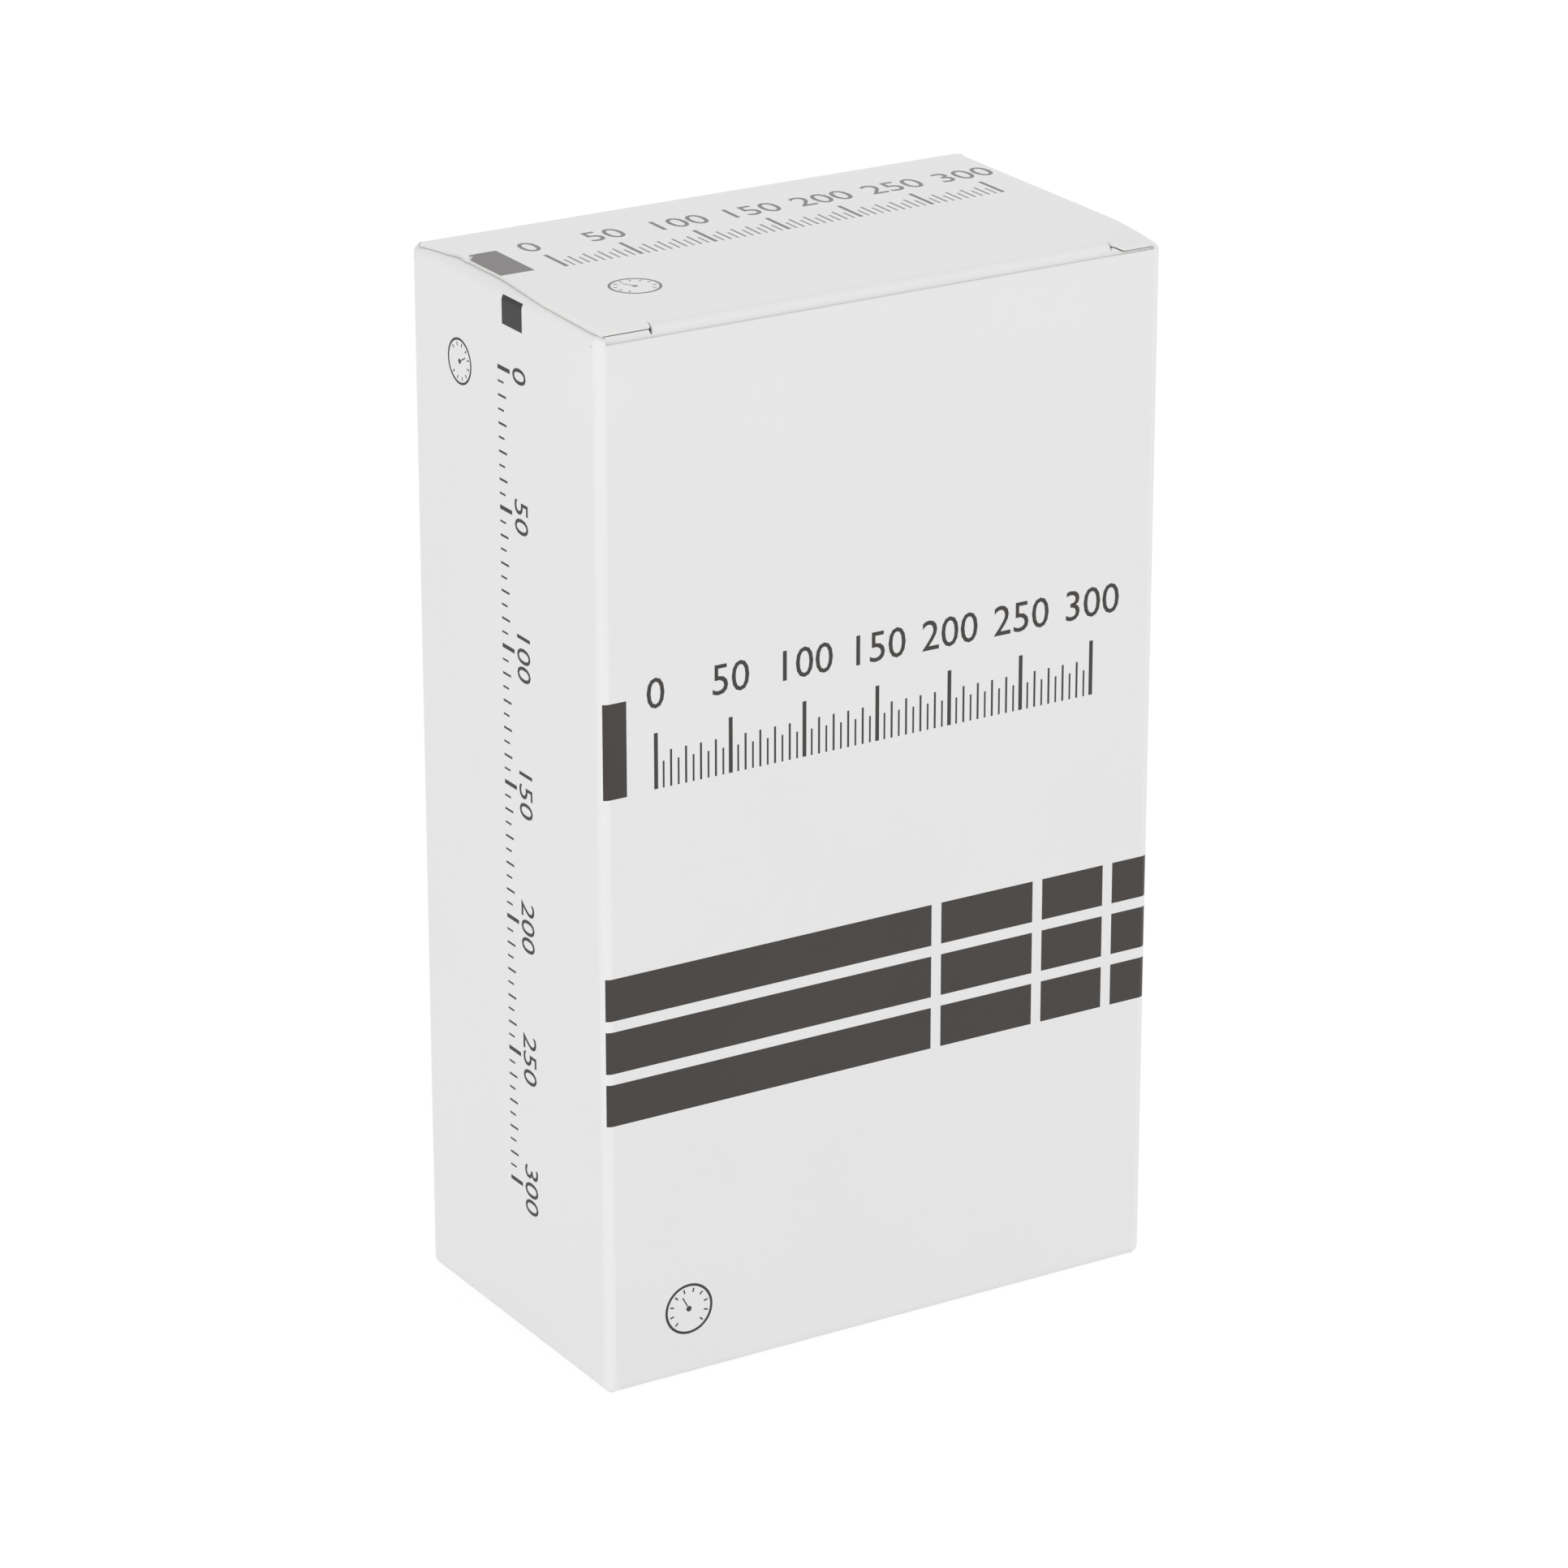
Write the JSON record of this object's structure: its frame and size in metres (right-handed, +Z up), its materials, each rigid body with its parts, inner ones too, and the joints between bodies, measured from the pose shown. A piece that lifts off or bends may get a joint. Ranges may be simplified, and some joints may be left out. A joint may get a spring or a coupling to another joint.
{
  "type": "boxed aneroid sphygmomanometer",
  "caption": "Upright tuck-top carton of thin white board with plain charcoal print, its lid opening on a rolled arm cuff, a dial pressure gauge, a squeeze bulb with its valve, and hoses.",
  "frame": {"origin": "middle of the carton's bottom face, on the surface it stands on", "axes": "+Z up along the carton's height; +X to the right along the wide front panel; the front panel faces -Y"},
  "size_m": [0.122, 0.07, 0.21],
  "materials": {
    "white_board": "white clay-coated folding boxboard, 0.6 mm, smooth satin, with a few flat charcoal printed blocks",
    "cuff_cloth": "navy plain-weave nylon, matt",
    "cuff_lining": "dark grey coated nylon, matt",
    "loop_pile": "short looped pile of a touch fastener",
    "black_rubber": "black rubber, dull",
    "black_enamel": "black enamel on metal, satin",
    "white_enamel": "white dial plate with black scale",
    "chromed_brass": "bright chrome plate",
    "spring_steel": "nickel-plated spring steel strip",
    "plain_steel": "plain turned steel",
    "movement_brass": "brass, brushed",
    "clear_lens": "clear flat lens"
  },
  "bodies": {
    "carton": {"carton_sleeve": "white_board", "bottom_outer_flap": "white_board", "bottom_inner_flap": "white_board", "bottom_side_flap_left": "white_board", "bottom_side_flap_right": "white_board", "cuff_outer_cloth": "cuff_cloth", "hook_tab": "cuff_cloth", "cuff_inner_cloth": "cuff_lining", "loop_patch": "loop_pile", "cuff_bladder": "black_rubber", "bladder_port_front": "black_rubber", "bladder_port_side": "black_rubber", "inflation_bulb": "black_rubber", "lens_gasket": "black_rubber", "valve_seal_ring": "black_rubber", "gauge_hose": "black_rubber", "bulb_hose": "black_rubber", "gauge_case": "black_enamel", "gauge_dial": "white_enamel", "gauge_bezel": "chromed_brass", "inlet_stem": "chromed_brass", "release_valve_body": "chromed_brass", "intake_valve_body": "chromed_brass", "spring_clip": "spring_steel", "capsule_lower": "movement_brass", "capsule_upper": "movement_brass", "movement_plate": "movement_brass", "movement_bridge": "movement_brass", "hairspring": "movement_brass", "gauge_lens": "clear_lens"},
    "lid": {"lid_panel": "white_board"},
    "tuck": {"tuck_flap": "white_board"},
    "dust_left": {"dust_flap_left": "white_board"},
    "dust_right": {"dust_flap_right": "white_board"},
    "sector": {"sector_gear": "movement_brass"},
    "pointer": {"pointer_arbor": "plain_steel", "gauge_pointer": "black_enamel"},
    "rocking_shaft": {"rocker": "plain_steel"},
    "capsule_pin": {"push_pin": "plain_steel"},
    "thumbscrew": {"valve_thumbscrew": "chromed_brass"},
    "ball": {"intake_valve_ball": "plain_steel"}
  },
  "joints": [
    {"name": "lid_hinge", "type": "hinge", "parent": "carton", "child": "lid", "pos_m": [0, 0.035, 0.21], "axis": [-1, 0, 0], "range_deg": [0, 150]},
    {"name": "tuck_hinge", "type": "hinge", "parent": "lid", "child": "tuck", "pos_m": [0, -0.0341, 0.21], "axis": [-1, 0, 0], "range_deg": [0, 30]},
    {"name": "dust_left_hinge", "type": "hinge", "parent": "carton", "child": "dust_left", "pos_m": [-0.061, 0, 0.2091], "axis": [0, -1, 0], "range_deg": [0, 90]},
    {"name": "dust_right_hinge", "type": "hinge", "parent": "carton", "child": "dust_right", "pos_m": [0.061, 0, 0.2091], "axis": [0, 1, 0], "range_deg": [0, 90]},
    {"name": "sector_swing", "type": "hinge", "parent": "carton", "child": "sector", "pos_m": [-0.03495, 0.022, 0.1646], "axis": [0, 0, 1], "range_deg": [0, 33.33], "stiffness_Nm_per_rad": 0.00002},
    {"name": "pointer_turn", "type": "hinge", "parent": "carton", "child": "pointer", "pos_m": [-0.03495, 0.0075, 0.1646], "axis": [0, 0, 1], "range_deg": [-300, 0]},
    {"name": "rocker_swing", "type": "hinge", "parent": "carton", "child": "rocking_shaft", "pos_m": [-0.03755, 0.0075, 0.161], "axis": [0, -1, 0], "range_deg": [0, 16.5]},
    {"name": "pin_rise", "type": "slide", "parent": "carton", "child": "capsule_pin", "axis": [0, 0, 1], "range_m": [0, 0.00074]},
    {"name": "screw_turn", "type": "hinge", "parent": "carton", "child": "thumbscrew", "pos_m": [0.0363, 0, 0.1035], "axis": [0, -1, 0], "range_deg": [0, 540]},
    {"name": "ball_lift", "type": "slide", "parent": "carton", "child": "ball", "axis": [0, 0, 1], "range_m": [0, 0.0008]}
  ],
  "couplings": [
    {"joint": "tuck_hinge", "follows": "lid_hinge", "ratio": 0.2},
    {"joint": "dust_left_hinge", "follows": "lid_hinge", "ratio": 0.6},
    {"joint": "dust_right_hinge", "follows": "lid_hinge", "ratio": 0.6},
    {"joint": "pointer_turn", "follows": "sector_swing", "ratio": -9},
    {"joint": "rocker_swing", "follows": "sector_swing", "ratio": 0.495},
    {"joint": "pin_rise", "follows": "sector_swing", "m_per_rad": 0.001271}
  ]
}
